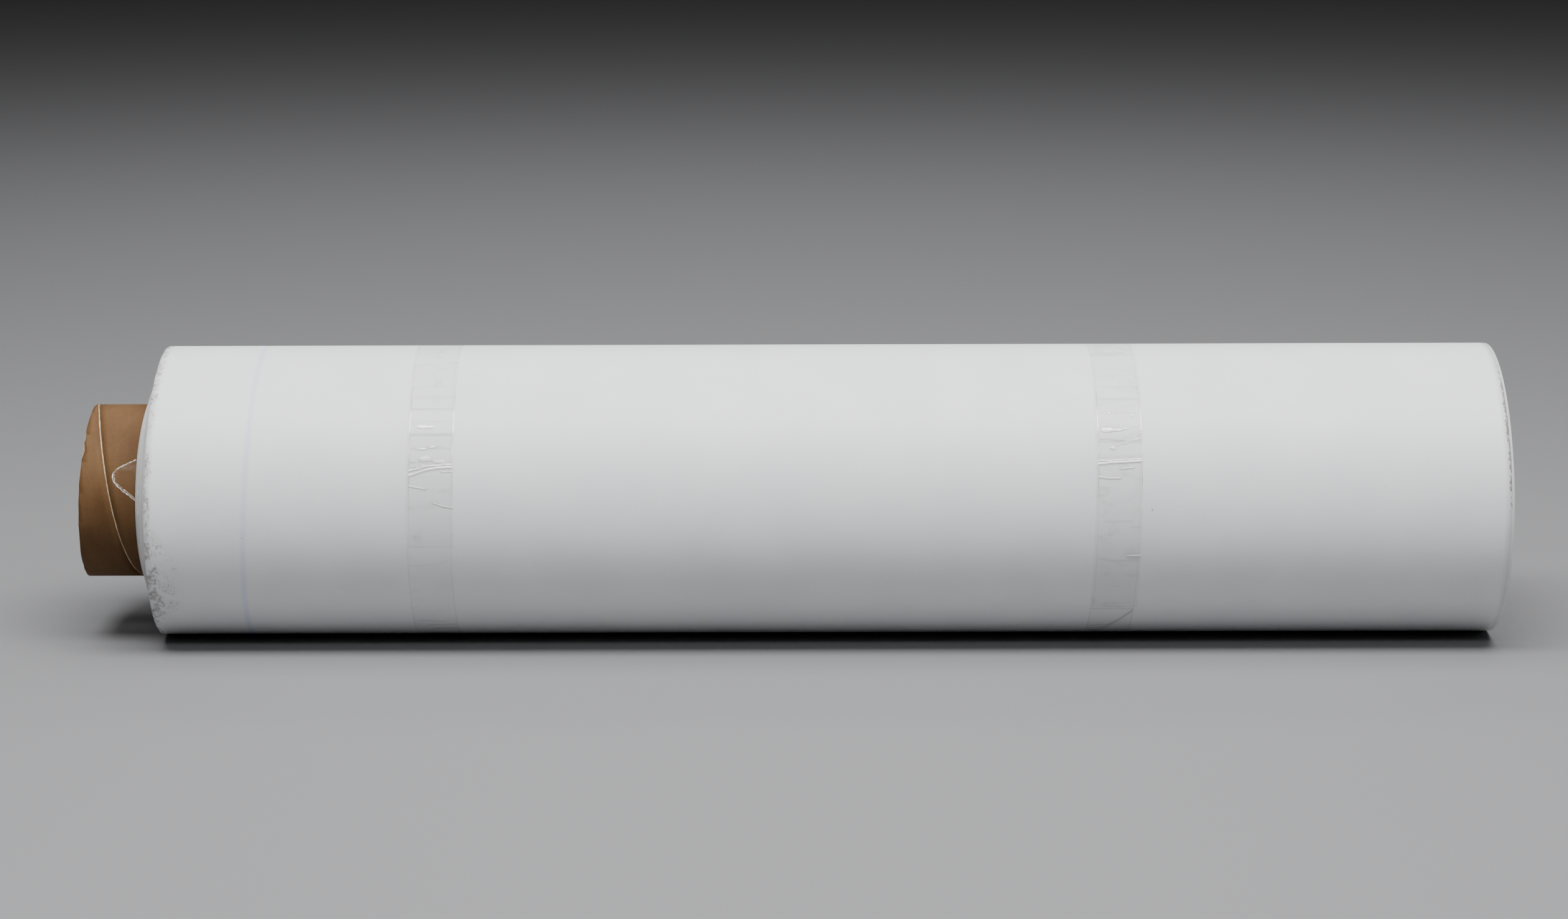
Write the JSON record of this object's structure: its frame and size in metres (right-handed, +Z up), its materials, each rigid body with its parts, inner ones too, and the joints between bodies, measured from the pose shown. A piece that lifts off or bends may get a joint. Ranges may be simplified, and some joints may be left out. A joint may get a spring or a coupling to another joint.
{
  "type": "backdrop paper roll",
  "caption": "Wide sheet of white backdrop paper wound on a brown paperboard core that has crept out at one end, held shut by two bands of clear packing tape.",
  "frame": {"origin": "on the core's axis, halfway along the wound sheet", "axes": "+X along the roll, from the end where the core stands out to the end where it is sunk; +Z up"},
  "size_m": [1.4558, 0.3002, 0.2999],
  "materials": {
    "white_paper": "matte, smooth",
    "wound_paper_edge": "cut edges",
    "brown_kraft": "matte kraft",
    "grey_board": "raw board",
    "board_liner": "matte kraft",
    "clear_tape": "clear, glossy"
  },
  "bodies": {
    "roll": {"outer_turns": "wound_paper_edge", "last_turn": "white_paper", "tape_band_left": "clear_tape", "tape_band_right": "clear_tape"},
    "core": {"core_board_ply_01": "grey_board", "core_board_ply_02": "grey_board", "core_board_ply_03": "grey_board", "core_board_ply_04": "grey_board", "core_board_ply_05": "grey_board", "core_board_ply_06": "grey_board", "core_board_ply_07": "grey_board", "core_board_ply_08": "grey_board", "core_board_ply_09": "grey_board", "core_board_ply_10": "grey_board", "core_board_ply_11": "grey_board", "core_board_ply_12": "grey_board", "core_board_ply_13": "grey_board", "core_board_ply_14": "grey_board", "core_board_ply_15": "grey_board", "core_liner": "board_liner", "core_outer_ply": "brown_kraft", "start_tape_left": "clear_tape", "start_tape_middle": "clear_tape", "start_tape_right": "clear_tape"},
    "turns_1": {"inner_turns_1": "wound_paper_edge"},
    "turns_2": {"inner_turns_2": "wound_paper_edge"},
    "turns_3": {"inner_turns_3": "wound_paper_edge"},
    "turns_4": {"inner_turns_4": "wound_paper_edge"},
    "turns_5": {"inner_turns_5": "wound_paper_edge"}
  },
  "joints": [
    {"name": "core_slide", "type": "slide", "parent": "roll", "child": "core", "axis": [1, 0, 0], "range_m": [0, 0.0792]},
    {"name": "turns_1_slide", "type": "slide", "parent": "roll", "child": "turns_1", "axis": [1, 0, 0], "range_m": [0, 0.01935]},
    {"name": "turns_2_slide", "type": "slide", "parent": "roll", "child": "turns_2", "axis": [1, 0, 0], "range_m": [0, 0.01585]},
    {"name": "turns_3_slide", "type": "slide", "parent": "roll", "child": "turns_3", "axis": [1, 0, 0], "range_m": [0, 0.01235]},
    {"name": "turns_4_slide", "type": "slide", "parent": "roll", "child": "turns_4", "axis": [1, 0, 0], "range_m": [0, 0.00885]},
    {"name": "turns_5_slide", "type": "slide", "parent": "roll", "child": "turns_5", "axis": [1, 0, 0], "range_m": [0, 0.00535]}
  ],
  "couplings": [
    {"joint": "turns_1_slide", "follows": "core_slide", "ratio": 0.2431},
    {"joint": "turns_2_slide", "follows": "core_slide", "ratio": 0.1989},
    {"joint": "turns_3_slide", "follows": "core_slide", "ratio": 0.1547},
    {"joint": "turns_4_slide", "follows": "core_slide", "ratio": 0.1105},
    {"joint": "turns_5_slide", "follows": "core_slide", "ratio": 0.0663}
  ]
}
